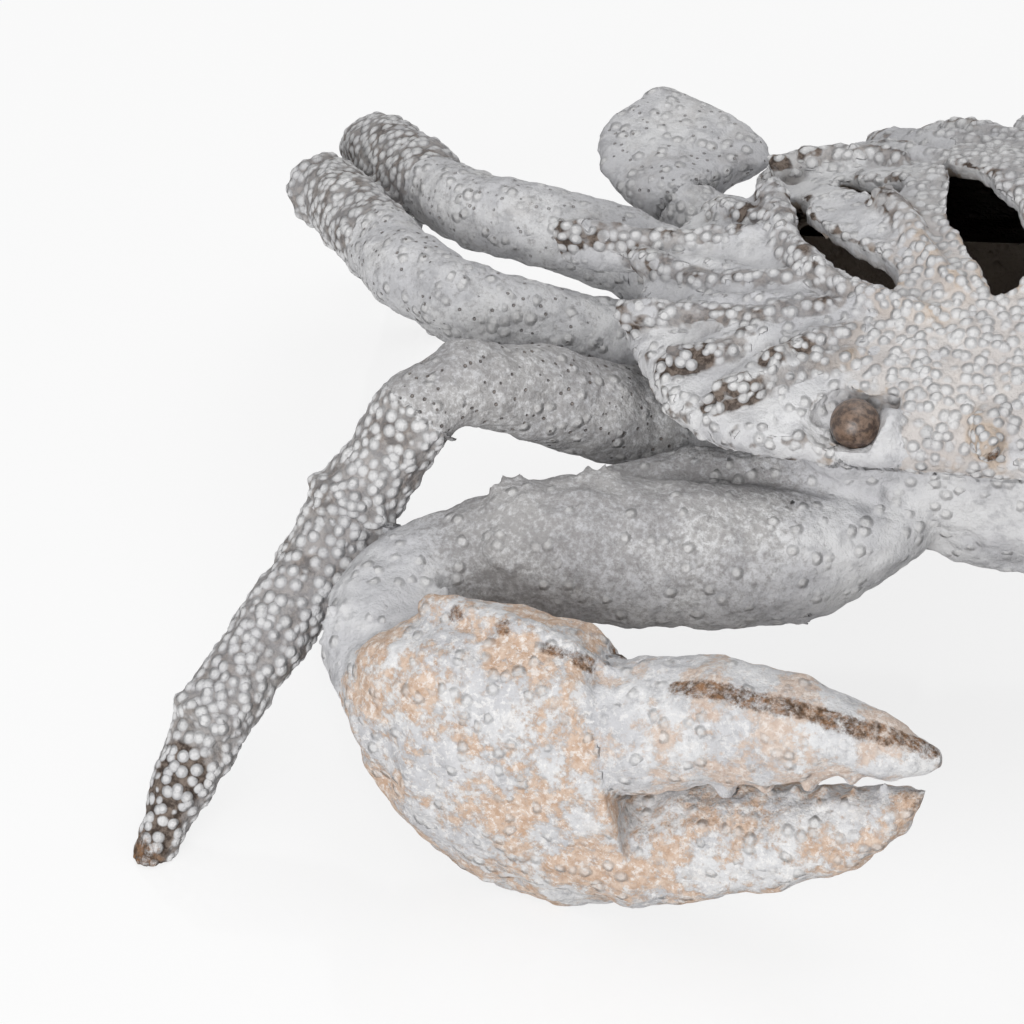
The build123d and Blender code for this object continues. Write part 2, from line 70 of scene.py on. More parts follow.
# %% [markdown]
# ## The camera
# The picture was taken with a long lens from the crab's front left, well above the table, so
# the lines hardly converge. A 190 mm lens on a 36 mm frame does that, and the camera is
# turned and tipped by two whole angles, which keeps the framing easy to change.

# %% Set up the camera
bpy.ops.object.select_all(action="DESELECT")
bpy.ops.object.camera_add(
    location=(0.1024, -0.7754, 0.5778), rotation=(math.radians(55), 0, math.radians(15))
)
camera = bpy.context.object
camera.name = "camera"
camera.data.lens = 190
camera.data.sensor_width = 36
bpy.context.scene.camera = camera
print("camera at", [round(v, 3) for v in camera.location])

# %% [markdown]
# ## Clay copies of the castings
# Real castings show no seams here: filler and paint run over them. So the solids are copied
# into one lump of clay, the details are added to it, and one skin is drawn over everything.
# Later the skin is cut into its castings again. Sculpting each casting by itself would
# leave an open groove at every seam.

# %% Copy the solids into one lump
hidden_pins = ("leg_pins", "claw_pins")
beads = ("eye_bead_right", "eye_bead_left")
castings = [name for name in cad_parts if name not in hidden_pins + beads]


def only(obj):
    """Selects one object and makes it the active one."""
    bpy.ops.object.select_all(action="DESELECT")
    obj.select_set(True)
    bpy.context.view_layer.objects.active = obj


def copy_node(name, new_name):
    """A copy of a solid with its corners merged."""
    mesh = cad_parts[name].data.copy()
    mesh.materials.clear()
    obj = bpy.data.objects.new(new_name, mesh)
    bpy.context.collection.objects.link(obj)
    only(obj)
    bpy.ops.object.mode_set(mode="EDIT")
    bpy.ops.mesh.select_all(action="SELECT")
    bpy.ops.mesh.remove_doubles(threshold=0.001 * mm)
    bpy.ops.object.mode_set(mode="OBJECT")
    return obj


def join(objects):
    """Joins objects into the first one."""
    only(objects[0])
    for obj in objects[1:]:
        obj.select_set(True)
    bpy.ops.object.join()
    return bpy.context.object


lumps = [copy_node(name, "clay_" + name) for name in castings]
print("copied", len(lumps), "castings")

# %% [markdown]
# ## Ribs, lip and ridges
# The shell's ribs are ropes of clay that start at a tooth on the edge and die out towards
# the crown. A soft lip runs along the front edge, where shell and bowl meet, a thicker rope
# is the root of the arm, and one more is the ridge of the palm. A rope is a curve with a
# round section: it is quick to lay and it keeps an even, hand rolled look.

# %% Lay ropes of clay
# Each line of points is in millimetres, from the edge of the shell inwards.
ribs = [
    [(-100, 11, 69), (-92.7, 10.6, 70), (-86, 10.5, 70), (-77.8, 10.5, 71), (-70, 11, 72.4)],
    [(-84.6, 7, 68.4), (-79.4, 3.4, 69.6), (-75, 1, 70.2), (-69.4, -2, 71.4), (-59.4, -3, 74.2),
     (-54, -2, 75.6)],
    [(-82.5, -12, 68.2), (-78, -11.3, 70), (-72, -12.5, 71), (-64, -13, 72), (-56.6, -13.5, 73.6),
     (-46, -9.5, 76)],
    [(-71.5, -23.2, 68.2), (-66.2, -22.6, 70), (-60.5, -21, 71.6)],
    [(-53, -25.4, 71.8), (-49, -21, 73.2), (-45.3, -18.6, 74.6), (-41.6, -16.4, 75.6)],
    [(-61, -32, 68), (-56.2, -30, 70), (-52.5, -27.5, 71), (-46.7, -23.4, 72.4), (-39.4, -21, 74)],
    [(-65, 25, 75), (-60.5, 15, 75.6), (-56.5, 5, 76), (-50, -2.4, 77), (-42.5, -7, 77.4),
     (-35.4, -10.4, 78), (-28, -12.5, 78.4)],
    [(-44, 20, 80), (-39, 13.5, 81), (-34, 5, 81), (-29, -2, 80.8), (-23.9, -7, 80.2)],
    [(-67, 39, 70), (-62.6, 40.7, 72), (-55.8, 41, 73.8), (-48, 42, 75), (-42.7, 38, 77.2)],
    [(-73.5, 24, 70), (-67, 19, 73), (-61.5, 13.8, 75.4)],
    [(-12.6, -36, 68.8), (-14.3, -34.6, 70.2), (-16.6, -31, 71)],
]
lip = [
    (-80, -9, 65.4), (-75.6, -17.4, 65), (-71, -24.2, 64.6), (-65.4, -30.6, 64.4),
    (-59.6, -34.2, 64.4), (-51, -35.6, 64.6), (-42, -35.2, 64.8), (-30, -34, 65),
    (-16, -32.4, 65), (0, -31.6, 65),
]
arm_root = [(-32, -27, 53), (-54, -28, 51), (-66, -29, 50), (-78, -33, 48), (-88, -39, 45)]
palm_ridge = [
    (-99, -79, 50), (-92.4, -81, 52.4), (-83.8, -83.6, 53), (-72.1, -85.6, 52.2), (-65, -86, 48.6)
]
rib_lift = 0.9


def rope(points, thickness, thin_end=0.5):
    """A tapering rope through points in millimetres, and its twin on the other side."""
    made = []
    for side in (1, -1):
        bpy.ops.object.select_all(action="DESELECT")
        bpy.ops.curve.primitive_nurbs_path_add()
        curve = bpy.context.object
        curve.data.splines.clear()
        line = curve.data.splines.new("NURBS")
        line.points.add(len(points) - 1)
        for number, (x, y, z) in enumerate(points):
            line.points[number].co = (side * x * mm, y * mm, z * mm, 1)
            line.points[number].radius = 1 - (1 - thin_end) * number / (len(points) - 1)
        line.use_endpoint_u = True
        line.order_u = 3
        curve.data.bevel_depth = thickness * mm
        curve.data.bevel_resolution = 3
        curve.data.use_fill_caps = True
        bpy.ops.object.convert(target="MESH")
        made.append(bpy.context.object)
    return made


for points in ribs:
    lumps += rope([(x, y, z + rib_lift) for x, y, z in points], 2.9)
lumps += rope(lip, 3.2, 1.0)
lumps += rope(arm_root, 7.0, 0.5)
lumps += rope(palm_ridge, 3.2)
print("ropes:", len(ribs) + 3)

# %% [markdown]
# ## Collars, teeth and rosettes
# Small lumps of clay are pressed on before the skin is drawn: a bed and a swelling for the
# eye, collars round the legs, blunt teeth under the upper finger and the star-like rosettes
# at the joints. Each is a squashed ball, set at a place on the surface.

# %% Press on the small lumps


def ball(place, size, along=(0, 0, 1)):
    """A squashed ball in millimetres, whose last size lies along a direction, and its twin."""
    made = []
    for side in (1, -1):
        aim = Vector((side * along[0], along[1], along[2]))
        bpy.ops.object.select_all(action="DESELECT")
        bpy.ops.mesh.primitive_uv_sphere_add(
            segments=16,
            ring_count=8,
            radius=mm,
            location=(side * place[0] * mm, place[1] * mm, place[2] * mm),
            rotation=aim.to_track_quat("Z", "Y").to_euler(),
        )
        bpy.context.object.scale = size
        bpy.ops.object.transform_apply(location=True, rotation=True, scale=True)
        made.append(bpy.context.object)
    return made


eye_bed = ((-37, -25, 61), (13, 10, 8))
eye_swelling = ((-29.3, -31.2, 67.8), (3.6, 3.6, 5), (1, 0, 0))
collars = [
    ((-120.8, -47.5, 46.5), (8.6, 8.6, 3.2), (-0.42, -0.63, -0.67)),
    ((-137.7, -77.4, 19.2), (7.2, 7.2, 3.0), (-0.35, -0.6, -0.7)),
    ((-152.5, 43, 50.5), (7.6, 7.6, 3.2), (-0.35, 0.6, -0.6)),
]
tooth_places = [(-45, 32.6), (-38, 34.6), (-31, 36.6), (-24, 38.6)]
finger_teeth = [((x, -90, z), (1.5, 2.2, 1.8)) for x, z in tooth_places]
for lump in [eye_bed, eye_swelling] + collars + finger_teeth:
    lumps += ball(*lump)


def rosette(place, reach, facing, petals=8):
    """A ring of small balls round a middle one, like a barnacle scar."""
    aim = Vector(facing).normalized()
    side = aim.orthogonal().normalized()
    other = aim.cross(side)
    place = Vector(place) - 0.5 * aim
    made = ball(place, (1.7, 1.7, 1.3), facing)
    for petal in range(petals):
        angle = 2 * math.pi * petal / petals
        outward = side * math.cos(angle) + other * math.sin(angle)
        made += ball(place + outward * reach, (1.0, 1.0, 1.9), outward)
    return made


rosettes = [
    ((-122.9, -51.5, 50.8), (0, -0.5, 0.85)),
    ((-137.1, -81.8, 21.8), (0, -0.8, 0.6)),
    ((-92.1, -47.7, 55.0), (0, -0.3, 0.95)),
    ((-90.2, -58.1, 50.4), (0, -0.7, 0.7)),
    ((-78.4, -43.2, 56.5), (0, -0.2, 1.0)),
    ((-115.5, -77.0, 41.8), (-0.5, -0.7, 0.5)),
    ((-101.1, -69.1, 44.1), (-0.3, -0.6, 0.7)),
]
for place, facing in rosettes:
    lumps += rosette(place, 2.9, facing)
print("lumps of clay:", len(lumps))

# %% [markdown]
# ## One skin over the lump
# A voxel remesh draws an even skin over all the pieces and drops what is inside. It is then
# smoothed a little, which takes the facets off the solids. A smaller voxel shows finer
# forms and costs more faces: 0.7 mm is enough for forms of two millimetres.

# %% Draw the skin
voxel = 0.7 * mm


def apply(obj, kind, **settings):
    """Adds a modifier with its settings and applies it."""
    only(obj)
    modifier = obj.modifiers.new(kind.lower(), kind)
    for key, value in settings.items():
        setattr(modifier, key, value)
    bpy.ops.object.modifier_apply(modifier=modifier.name)


clay = join(lumps)
clay.name = "clay"
apply(clay, "REMESH", mode="VOXEL", voxel_size=voxel)
apply(clay, "SMOOTH", factor=0.5, iterations=5)
print("skin faces:", len(clay.data.polygons))

# %% [markdown]
# ## Hand modelled unevenness
# Nothing on the real one is truly round: the surface swells and dents by half a millimetre
# over a centimetre. Two displace modifiers with cloud textures do that, one broad and one
# fine. They work along the normals, so thin teeth stay whole.

# %% Swell and dent the skin


def clouds(name, size):
    """A soft noise texture with features of one size in millimetres."""
    texture = bpy.data.textures.new(name, "CLOUDS")
    texture.noise_scale = size * mm
    texture.noise_depth = 1
    return texture


for name, size, depth in (("broad dents", 9, 1.9), ("fine dents", 3.2, 1.0)):
    apply(
        clay,
        "DISPLACE",
        texture=clouds(name, size),
        texture_coords="LOCAL",
        strength=depth * mm,
        mid_level=0.52,
    )
print("vertices of the skin:", len(clay.data.vertices))

# %% [markdown]
# ## Stand it on the table
# The feet are ground flat in the workshop. Here every point that the dents pushed past the
# solids' box, and so under the table, is brought back to it. A round tool then presses a
# seat for each bead, and the clay in front of it and beside it is pared down, so that the
# bead stands free.

# %% Keep the skin inside the solids' box
count = len(clay.data.vertices)
places = np.empty(count * 3)
clay.data.vertices.foreach_get("co", places)
places = np.clip(places.reshape(-1, 3), cad_box[0], cad_box[1])
bead_place = (-37, -33, 68.6)
seat_radius = 4.7 * mm
pared_reach = 12 * mm
pared_height = 65.8 * mm
for side in (1, -1):
    seat = np.array(bead_place) * (side, 1, 1) * mm
    away = places - seat
    far = np.linalg.norm(away, axis=1)
    near = far < seat_radius
    places[near] = seat + away[near] / far[near, None] * seat_radius
    around = np.linalg.norm(away[:, :2], axis=1)
    outward = -side * away[:, 0]
    pared = (around < pared_reach) & (places[:, 2] > 62 * mm)
    limit = pared_height + np.maximum(away[:, 1] + 1 * mm, 0) * 0.9
    limit += np.maximum(outward - 5 * mm, 0) * 0.6 + np.maximum(-outward - 3.5 * mm, 0) * 2.5
    places[pared, 2] = np.minimum(places[pared, 2], limit[pared])
clay.data.vertices.foreach_set("co", places.ravel())
clay.data.update()
print("vertices in the seats:", int(near.sum()), "pared:", int(pared.sum()))

# %% [markdown]
# ## Which casting a face belongs to
# The skin is cut back into its castings. Each face goes to the solid that it lies nearest
# to, found with one search tree over all the solids.

# %% Find the nearest solid of every face
corners, triangles, owners = [], [], []
for number, name in enumerate(castings):
    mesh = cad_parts[name].data
    base = len(corners)
    corners += [v.co[:] for v in mesh.vertices]
    for polygon in mesh.polygons:
        triangles.append([base + v for v in polygon.vertices])
        owners.append(number)
tree = BVHTree.FromPolygons(corners, triangles)
vertex_owner = np.array([owners[tree.find_nearest(Vector(p))[2]] for p in places])
print("vertices:", count, "owners:", len(set(vertex_owner)))

# %% [markdown]
# ## Where the grain, the stain and the bare patches are
# The finish changes from place to place: the outer legs and the teeth have raised grains
# with dark stain between them, the inner legs have pin holes, and the claws are rubbed back
# to the tan base. Each of these is a number from 0 to 1 on every point, like weight paint.
# A crest map, the height over a smoother copy of the skin, finds the ribs.

# %% Measure the crests
smoother = clay.copy()
smoother.data = clay.data.copy()
bpy.context.collection.objects.link(smoother)
apply(smoother, "SMOOTH", factor=0.5, iterations=40)
soft = np.empty(count * 3)
smoother.data.vertices.foreach_get("co", soft)
normals = np.empty(count * 3)
clay.data.vertices.foreach_get("normal", normals)
crest = ((places - soft.reshape(-1, 3)) * normals.reshape(-1, 3)).sum(1) / mm
bpy.data.objects.remove(smoother)
print("crest from", round(float(crest.min()), 2), "to", round(float(crest.max()), 2), "mm")

# %% [markdown]
# ## The dark inside
# Brush and spray never reach the hollow inside, which stays dark brown. The darker colour
# given to it is partly this unpainted brown and partly painted shade of the closed hollow. A
# point is inside when level and rising rays all round it meet the shell or the bowl.

# %% Find the inside of the body
body = [castings.index(name) for name in ("carapace", "underbody")]
body_triangles = [three for three, owner in zip(triangles, owners) if owner in body]
body_tree = BVHTree.FromPolygons(corners, body_triangles)
ray_start, ray_length = 1.2 * mm, 180 * mm
directions = [Vector((math.cos(a), math.sin(a), 0)) for a in np.arange(8) * math.pi / 4]
directions += [Vector((x, y, 1)).normalized() for x, y in ((1, 0), (-1, 0), (0, 1), (0, -1))]
point_normals = normals.reshape(-1, 3)
inner = np.zeros(count)
for number in np.flatnonzero(np.isin(vertex_owner, body)):
    start = Vector(places[number] + point_normals[number] * ray_start)
    hits = sum(body_tree.ray_cast(start, way, ray_length)[0] is not None for way in directions)
    inner[number] = hits / len(directions)
print("points inside:", int((inner > 0.9).sum()))

# %% [markdown]
# ## Brush on the maps
# Every map starts from a table, with one number for each kind of casting. Strokes are then
# laid over it, strongest along their line and gone at their radius. The left half takes the
# numbers of the right half.

# %% Helpers for the maps
mirrored = places.copy()
mirrored[:, 0] = -np.abs(mirrored[:, 0])
mirrored /= mm


def ramp(value, low, high):
    """0 below low, 1 above high, and a soft slope between them."""
    share = np.clip((value - low) / (high - low), 0, 1)
    return share * share * (3 - 2 * share)


def streak(points, radius, strength=1.0):
    """A soft stroke of paint along a line of points, or a dab at a single one."""
    far = np.full(count, 1e9)
    points = [np.array(point, float) for point in points]
    for start, end in zip(points, points[1:] or points):
        run = end - start
        along = np.clip((mirrored - start) @ run / max(run @ run, 1e-9), 0, 1)
        far = np.minimum(far, np.linalg.norm(mirrored - start - along[:, None] * run, axis=1))
    return strength * (1 - ramp(far, radius * 0.35, radius))


def most(layers):
    """The strongest of several strokes at every point."""
    return np.max(np.array(layers), axis=0)


kinds = [name.removesuffix("_right").removesuffix("_left") for name in castings]


def by_casting(table):
    """The number that a table gives for the casting of every point."""
    return np.array([table.get(kind, 0.0) for kind in kinds])[vertex_owner]


print("kinds of casting:", len(set(kinds)))

# %% Paint the maps
brushed_round_bead = 14
bead_distance = np.linalg.norm(mirrored - bead_place, axis=1)
inner = np.where(bead_distance < brushed_round_bead, 0, inner)
grain = by_casting({
    "underbody": 0.12, "claw_arm": 0.08, "claw_wrist": 0.12, "claw_palm": 0.15, "claw_finger": 0.06,
    "front_leg_upper": 0.08, "front_leg_lower": 0.96,
    "middle_leg_upper": 0.25, "middle_leg_lower": 0.9,
    "rear_leg_upper": 0.3, "rear_leg_lower": 0.9, "swim_leg_upper": 0.4, "swim_paddle": 0.3,
})
pits = by_casting({
    "front_leg_upper": 1.0, "middle_leg_upper": 0.9, "rear_leg_upper": 0.6,
    "swim_paddle": 0.7, "claw_arm": 0.1,
})
stain = by_casting({
    "underbody": 0.1, "claw_arm": 0.1, "claw_wrist": 0.15, "claw_palm": 0.2, "claw_finger": 0.15,
    "front_leg_upper": 0.1, "front_leg_lower": 0.42,
    "middle_leg_upper": 0.25, "middle_leg_lower": 0.45,
    "rear_leg_upper": 0.3, "rear_leg_lower": 0.45, "swim_leg_upper": 0.4, "swim_paddle": 0.4,
})
tan = by_casting({"claw_palm": 0.6, "claw_finger": 0.5, "claw_wrist": 0.08, "underbody": 0.06})
shell = vertex_owner == castings.index("carapace")
on_ribs = most([streak(points, 4.6) for points in ribs])
middle = 1 - ramp(-mirrored[:, 0], 30, 54)
crests = ramp(crest, 0.05, 0.5)
grain = np.where(shell, most([on_ribs, 0.92 * middle, 0.9 * crests, np.full(count, 0.12)]), grain)
grain = grain * (1 - ramp(inner, 0.3, 0.6) * shell)
tips = most([streak(points[:2], 5.0) for points in ribs])
stain = np.where(shell, most([tips, 0.45 * on_ribs, 0.6 * crests, np.full(count, 0.15)]), stain)
tan = np.where(shell, 0.34 * middle * ramp(-mirrored[:, 1], -30, 5), tan)
knee, foot = [(-118, -40, 56), (-111, -33, 65)], [(-140, -86, 14), (-146, -93, 2)]
knees = most([streak(knee, 8), streak(foot, 8)])
stain = np.maximum(stain, 0.8 * knees)
finger_back = [
    (-54, -90, 52), (-46, -90.6, 52), (-36, -91, 51.4), (-26, -91, 50), (-18, -90, 48),
    (-11.8, -88.6, 45.6),
]
brown = most([
    streak([(-146, -94, 0)], 9),
    streak([(-92.4, -82.2, 53)], 3.2),
    streak([(-83.8, -84.9, 53.6)], 3.2),
    streak([(-76, -87, 52), (-69, -87.5, 51)], 3.0),
    streak([(-67, -77.5, 46.5)], 3.2),
    streak(finger_back, 3.4),
    streak([(-13, -89.5, 36), (-11.5, -88.5, 38)], 5, 0.8),
    streak([(-12.6, -36.8, 69.2)], 2.6),
    streak([(-45, -92, 23), (-30, -93, 26), (-18, -91, 31)], 4.0, 0.35),
])
# Painted shade: the arm, the wrist, the upper legs and the body under the shell's front edge get a
# darker, thinner wash that stands in for the shade of the overhanging shell.
thin = by_casting({"front_leg_upper": 0.9, "middle_leg_upper": 0.4, "rear_leg_upper": 0.4})
by_arm = by_casting({"claw_arm": 1.0, "claw_wrist": 1.0, "underbody": 1.0})
thin = np.maximum(thin, by_arm * streak([(-58, -38, 46), (-92, -48, 46)], 26))
# The inside map darkens the hollow inside, partly as its unpainted brown and partly as painted
# shade.
maps = {
    "thin": thin, "grain": grain, "pits": pits, "stain": stain, "tan": tan, "brown": brown,
    "crest": crest, "inside": ramp(inner, 0.72, 0.95),
}
for name, values in maps.items():
    layer = clay.data.attributes.new(name, "FLOAT", "POINT")
    layer.data.foreach_set("value", values.astype(np.float32))
    print(name, round(float(values.mean()), 3))

# %% [markdown]
# ## Raise the grains
# The grains were carved into the master, so they stand in the outline of the legs and ribs.
# A geometry nodes modifier lifts the skin with the same cells that the finish uses later,
# so that relief and colour fall together. One small function adds a node with its settings
# and links, and the materials use it too.

# %% Raise the grains


def node(tree, kind, inputs=None, **settings):
    """Adds a node, sets its properties and fills or links its inputs."""
    made = tree.nodes.new(kind)
    for key, value in settings.items():
        setattr(made, key, value)
    for key, value in (inputs or {}).items():
        if isinstance(value, bpy.types.NodeSocket):
            tree.links.new(value, made.inputs[key])
        else:
            made.inputs[key].default_value = value
    return made


grain_size = 2.1 * mm
grain_height = 0.42 * mm
grain_cells = {"Scale": 1 / grain_size, "Randomness": 0.72}
relief_tree = bpy.data.node_groups.new("raised grains", "GeometryNodeTree")
for way in ("INPUT", "OUTPUT"):
    relief_tree.interface.new_socket("Geometry", in_out=way, socket_type="NodeSocketGeometry")
spot = node(relief_tree, "GeometryNodeInputPosition").outputs["Position"]
cell = node(relief_tree, "ShaderNodeTexVoronoi", {"Vector": spot, **grain_cells})
lift = node(
    relief_tree,
    "ShaderNodeMapRange",
    {
        "Value": cell.outputs["Distance"],
        "From Min": 0.15,
        "From Max": 0.68,
        "To Min": grain_height,
        "To Max": 0.0,
    },
    interpolation_type="SMOOTHSTEP",
).outputs["Result"]
amount = node(relief_tree, "GeometryNodeInputNamedAttribute", {"Name": "grain"}, data_type="FLOAT")
strong = node(
    relief_tree,
    "ShaderNodeMapRange",
    {"Value": amount.outputs["Attribute"], "From Min": 0.4, "From Max": 0.8},
    interpolation_type="SMOOTHSTEP",
).outputs["Result"]
height = node(relief_tree, "ShaderNodeMath", {0: lift, 1: strong}, operation="MULTIPLY").outputs[0]
outward = node(relief_tree, "GeometryNodeInputNormal").outputs["Normal"]
offset = node(relief_tree, "ShaderNodeVectorMath", {0: outward, "Scale": height}, operation="SCALE")
skin = node(relief_tree, "NodeGroupInput").outputs[0]
raised = node(
    relief_tree, "GeometryNodeSetPosition", {"Geometry": skin, "Offset": offset.outputs["Vector"]}
)
node(relief_tree, "NodeGroupOutput", {0: raised.outputs["Geometry"]})
apply(clay, "NODES", node_group=relief_tree)
lifted = np.empty(count * 3)
clay.data.vertices.foreach_get("co", lifted)
lifted = np.clip(lifted.reshape(-1, 3), cad_box[0], cad_box[1])
clay.data.vertices.foreach_set("co", lifted.ravel())
print("raised the skin by up to", round(float(np.abs(lifted - places).max() / mm), 2), "mm")

# %% [markdown]
# ## Cut the skin into its castings
# Each casting is separated by selecting its faces. The edge that is left open is turned
# inwards a little, which keeps the seam fine, and then filled, so every piece is closed as a
# real casting is. The largest castings are thinned slightly.

# %% Separate the castings
face_owner = np.array(
    [np.bincount(vertex_owner[list(face.vertices)]).argmax() for face in clay.data.polygons]
)
layer = clay.data.attributes.new("casting", "INT", "FACE")
layer.data.foreach_set("value", face_owner.astype(np.int32))


def select_faces(obj, chosen):
    """Selects faces in object mode and nothing else."""
    mesh = obj.data
    mesh.vertices.foreach_set("select", np.zeros(len(mesh.vertices), bool))
    mesh.edges.foreach_set("select", np.zeros(len(mesh.edges), bool))
    mesh.polygons.foreach_set("select", chosen)


seam_depth = 1.2 * mm
most_faces = 90000
pieces = {}
for number, name in enumerate(castings):
    values = np.empty(len(clay.data.polygons), np.int32)
    clay.data.attributes["casting"].data.foreach_get("value", values)
    if (values == number).all():
        piece = clay
    else:
        only(clay)
        select_faces(clay, values == number)
        bpy.ops.object.mode_set(mode="EDIT")
        bpy.ops.mesh.select_mode(type="FACE")
        bpy.ops.mesh.separate(type="SELECTED")
        bpy.ops.object.mode_set(mode="OBJECT")
        piece = [obj for obj in bpy.context.selected_objects if obj != clay][0]
    piece.name = name + "_cast"
    only(piece)
    bpy.ops.object.mode_set(mode="EDIT")
    bpy.ops.mesh.select_mode(type="VERT")
    bpy.ops.mesh.select_all(action="DESELECT")
    bpy.ops.mesh.select_non_manifold()
    bpy.ops.mesh.extrude_edges_move()
    bpy.ops.transform.shrink_fatten(value=-seam_depth)
    bpy.ops.mesh.fill_holes(sides=0)
    bpy.ops.mesh.select_all(action="SELECT")
    bpy.ops.mesh.normals_make_consistent(inside=False)
    bpy.ops.object.mode_set(mode="OBJECT")
    faces = len(piece.data.polygons)
    if faces > most_faces:
        apply(piece, "DECIMATE", ratio=most_faces / faces)
    bpy.ops.object.shade_smooth_by_angle(angle=math.radians(60))
    pieces[name] = piece
print("castings cut:", len(pieces))

# %% [markdown]
# ## Paint and stain
# The paints are worked out as sRGB hex values, the way a colour card gives them. The
# shader needs them linear, so one function turns them.

# %% Helpers for materials


def paint(hex_value):
    """An sRGB hex colour as linear numbers."""
    channels = [int(hex_value[i : i + 2], 16) / 255 for i in (1, 3, 5)]
    linear = [c / 12.92 if c <= 0.04045 else ((c + 0.055) / 1.055) ** 2.4 for c in channels]
    return (*linear, 1)


def new_material(name):
    """A material with only its output and its main shader."""
    material = bpy.data.materials.new(name)
    material.use_nodes = True
    return material, material.node_tree, material.node_tree.nodes["Principled BSDF"]


print("white wash in linear numbers:", [round(value, 3) for value in paint("#dadadb")])


# %% [markdown]
# ## The whitewashed resin
# The real finish has three coats: a tan base, a thin brown stain that stays in the
# recesses, and a dry white wash that only wets what stands proud. The same three are
# mixed here, then brown paint on the tips and a darker brown in the hollow inside, which is
# partly the unpainted inside and partly painted shade. A painted grey shade also lies in the
# broad hollows between the ribs. The grains are the same 2 mm cells that raised the skin,
# and they also go into the bump, so colour and relief agree. A cell draws a number of its
# own and has a grain where the grain map is higher. On the arm and the upper legs, most on
# the upper front leg, the wash is darker and mottled like a thinner wash, and this darkening
# is painted shade from the overhanging shell. The claws get flakes of chalky white. Matte
# paint on resin has an IOR near 1.5 and is rough all over.

# %% Make the whitewashed resin
resin, tree_, shader = new_material("whitewashed polyresin")
spot = node(tree_, "ShaderNodeTexCoord").outputs["Object"]


def mask(name):
    """One of the painted maps."""
    return node(tree_, "ShaderNodeAttribute", attribute_name=name).outputs["Fac"]


def slope(value, low, high, to_low=0.0, to_high=1.0):
    """A soft step between two values."""
    return node(
        tree_,
        "ShaderNodeMapRange",
        {"Value": value, "From Min": low, "From Max": high, "To Min": to_low, "To Max": to_high},
        interpolation_type="SMOOTHSTEP",
    ).outputs["Result"]


def math_of(operation, a, b=0.5, clamp=False):
    """A sum, product or other operation of two values."""
    made = node(tree_, "ShaderNodeMath", {0: a, 1: b}, operation=operation, use_clamp=clamp)
    return made.outputs[0]


def noise(size, detail=3, roughness=0.55):
    """Soft noise with features of one size in millimetres."""
    return node(
        tree_,
        "ShaderNodeTexNoise",
        {"Vector": spot, "Scale": 1 / (size * mm), "Detail": detail, "Roughness": roughness},
    ).outputs["Fac"]


def cells(size, evenness=0.25):
    """Distance from the middle of cells of one size in millimetres."""
    return node(
        tree_,
        "ShaderNodeTexVoronoi",
        {"Vector": spot, "Scale": 1 / (size * mm), "Randomness": 1 - evenness},
    ).outputs["Distance"]


def mixed(share, under, over):
    """One colour laid over another."""
    return node(
        tree_, "ShaderNodeMix", {"Factor": share, 6: under, 7: over}, data_type="RGBA"
    ).outputs[2]


around = node(tree_, "ShaderNodeTexVoronoi", {"Vector": spot, **grain_cells})
draw = node(tree_, "ShaderNodeSeparateColor", {"Color": around.outputs["Color"]}).outputs[0]
there = slope(math_of("SUBTRACT", mask("grain"), draw), -0.12, -0.05)
round_part = slope(around.outputs["Distance"], 0.22, 0.68, 1, 0)
dome = math_of("MULTIPLY", round_part, there)
gaps = slope(around.outputs["Distance"], 0.44, 0.64)
recess = math_of("MULTIPLY", gaps, slope(mask("grain"), 0.45, 0.75))
pit = math_of("MULTIPLY", slope(cells(1.9, 0.2), 0.11, 0.19, 1, 0), mask("pits"))
broad = noise(14)
mottle = noise(3.0, 5, 0.65)
fine = noise(0.8)
specks = noise(1.6, 6, 0.7)

wash = mixed(slope(broad, 0.35, 0.65), paint("#c3c3c6"), paint("#dadadb"))
wash = mixed(slope(mottle, 0.48, 0.68, 0, 0.6), wash, paint("#a3a3a6"))
# Painted shade under the shell, laid as a thinner, darker wash with a fine mottle.
thin = slope(math_of("ADD", noise(1.1, 7, 0.75), math_of("MULTIPLY", mask("thin"), 0.3)), 0.6, 0.85)
wash = mixed(math_of("MULTIPLY", thin, 0.6), wash, paint("#77726f"))
base = mixed(slope(specks, 0.35, 0.65), paint("#bd9f88"), paint("#d5c0af"))
handled = math_of("MULTIPLY", slope(noise(9), 0.38, 0.62), 0.22)
rubbed = math_of("ADD", math_of("MULTIPLY", mask("tan"), 0.2), handled)
bare = slope(math_of("ADD", rubbed, math_of("MULTIPLY", noise(1.9, 8, 0.78), 0.9)), 0.6, 0.76)
bare = math_of("MULTIPLY", bare, slope(mask("tan"), 0.3, 0.6))
coat = mixed(bare, wash, base)
on_claw = slope(mask("tan"), 0.3, 0.6, 0, 0.62)
flakes = math_of("MULTIPLY", slope(noise(1.2, 7, 0.75), 0.5, 0.6), on_claw)
coat = mixed(flakes, coat, paint("#efedeb"))
coat = mixed(math_of("MULTIPLY", dome, 0.5), coat, paint("#dedddc"))
stain_mask = mask("stain")
pooled = math_of("ADD", noise(7, 4, 0.6), math_of("MULTIPLY", stain_mask, 0.35))
blotch = slope(pooled, 0.62, 0.78)
dark = math_of("MULTIPLY", recess, slope(stain_mask, 0.0, 1.0, 0.3, 0.95))
spilt = math_of("MULTIPLY", blotch, stain_mask)
over = math_of("MULTIPLY", slope(dome, 0.1, 0.5, 0.6, 0.0), spilt)
dark = math_of("ADD", dark, over, clamp=True)
dark = math_of("MAXIMUM", dark, math_of("MULTIPLY", pit, 0.75))
umber = mixed(slope(specks, 0.4, 0.6), paint("#3f352f"), paint("#7b6f66"))
umber = mixed(slope(mask("tan"), 0.05, 0.3), umber, paint("#c2b3a5"))
stained = mixed(dark, coat, umber)
